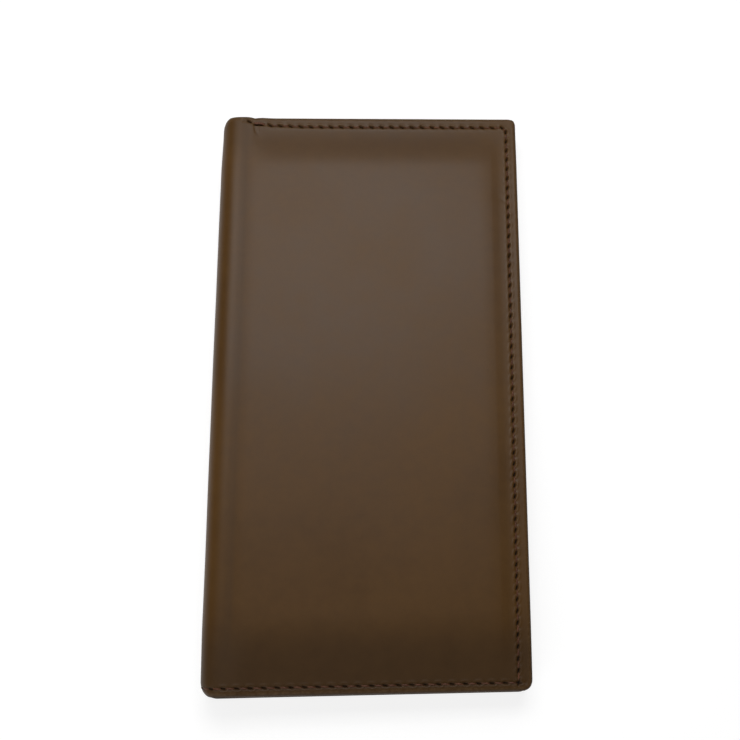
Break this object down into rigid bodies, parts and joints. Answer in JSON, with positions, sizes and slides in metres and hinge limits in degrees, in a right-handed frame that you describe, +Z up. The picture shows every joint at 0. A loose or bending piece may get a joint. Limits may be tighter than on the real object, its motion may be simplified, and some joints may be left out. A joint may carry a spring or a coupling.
{
  "type": "long wallet",
  "caption": "Closed book-type long wallet: two padded leather halves on a rolled, folding spine, with card pockets, bill pockets and a zipped coin pocket inside.",
  "frame": {"origin": "bottom centre of the closed wallet, on the surface that it lies on", "axes": "+X from the spine to the free edge, +Y along the length, away from the near end, +Z up through the front cover"},
  "size_m": [0.1, 0.19, 0.015],
  "materials": {
    "cover_leather": "smooth semi-gloss, olive brown",
    "page_leather": "smooth satin, olive brown",
    "lining_cloth": "woven twill, dark brown",
    "seam_thread": "waxed thread, red brown",
    "board": "grey board",
    "clear_film": "clear flexible film",
    "zip_tape": "woven tape, dark brown",
    "zip_metal": "polished, lightly worn"
  },
  "bodies": {
    "back_half": {"back_cover": "cover_leather", "back_board": "board", "back_lining": "lining_cloth", "bill_divider": "lining_cloth", "back_page_backing": "lining_cloth", "back_page": "page_leather", "card_pocket_1": "page_leather", "card_pocket_2": "page_leather", "card_pocket_3": "page_leather", "card_pocket_4": "page_leather", "card_pocket_5": "page_leather", "card_pocket_6": "page_leather", "card_pocket_7": "page_leather", "card_pocket_8": "page_leather", "back_seam_thread": "seam_thread", "back_page_thread": "seam_thread"},
    "spine_lower": {"spine_lower_leather": "cover_leather", "spine_lower_lining": "lining_cloth", "spine_lower_thread": "seam_thread"},
    "spine_upper": {"spine_upper_leather": "cover_leather", "spine_upper_lining": "lining_cloth", "spine_upper_thread": "seam_thread"},
    "front_half": {"front_cover": "cover_leather", "front_board": "board", "front_lining": "lining_cloth", "coin_bag": "lining_cloth", "front_page_backing": "lining_cloth", "front_page": "page_leather", "side_slot_1": "page_leather", "side_slot_2": "page_leather", "side_slot_3": "page_leather", "id_frame": "page_leather", "id_film": "clear_film", "front_seam_thread": "seam_thread", "front_page_thread": "seam_thread", "side_slot_thread": "seam_thread", "zip_seam_thread": "seam_thread", "zip_tape_inner": "zip_tape", "zip_tape_outer": "zip_tape", "zip_teeth_inner": "zip_metal", "zip_teeth_outer": "zip_metal", "zip_top_stop": "zip_metal", "zip_bottom_stop": "zip_metal"},
    "zip_slider": {"zip_slider": "zip_metal"},
    "zip_puller": {"zip_puller": "zip_metal"}
  },
  "joints": [
    {"name": "spine_fold_1", "type": "hinge", "parent": "back_half", "child": "spine_lower", "pos_m": [-0.04628, 0, 0.00103], "axis": [0, -1, 0], "range_deg": [0, 60.62]},
    {"name": "spine_fold_2", "type": "hinge", "parent": "spine_lower", "child": "spine_upper", "pos_m": [-0.05, 0, 0.00762], "axis": [0, -1, 0], "range_deg": [0, 60.62]},
    {"name": "spine_fold_3", "type": "hinge", "parent": "spine_upper", "child": "front_half", "pos_m": [-0.04607, 0, 0.01409], "axis": [0, -1, 0], "range_deg": [0, 60.62]},
    {"name": "zip_slide", "type": "slide", "parent": "front_half", "child": "zip_slider", "axis": [0, -1, 0], "range_m": [0, 0.13]},
    {"name": "puller_swing", "type": "hinge", "parent": "zip_slider", "child": "zip_puller", "pos_m": [-0.02992, 0.0675, 0.00975], "axis": [0.9995, 0, -0.0322], "range_deg": [0, 9]}
  ],
  "couplings": [
    {"joint": "spine_fold_2", "follows": "spine_fold_1", "ratio": 1},
    {"joint": "spine_fold_3", "follows": "spine_fold_1", "ratio": 1}
  ]
}
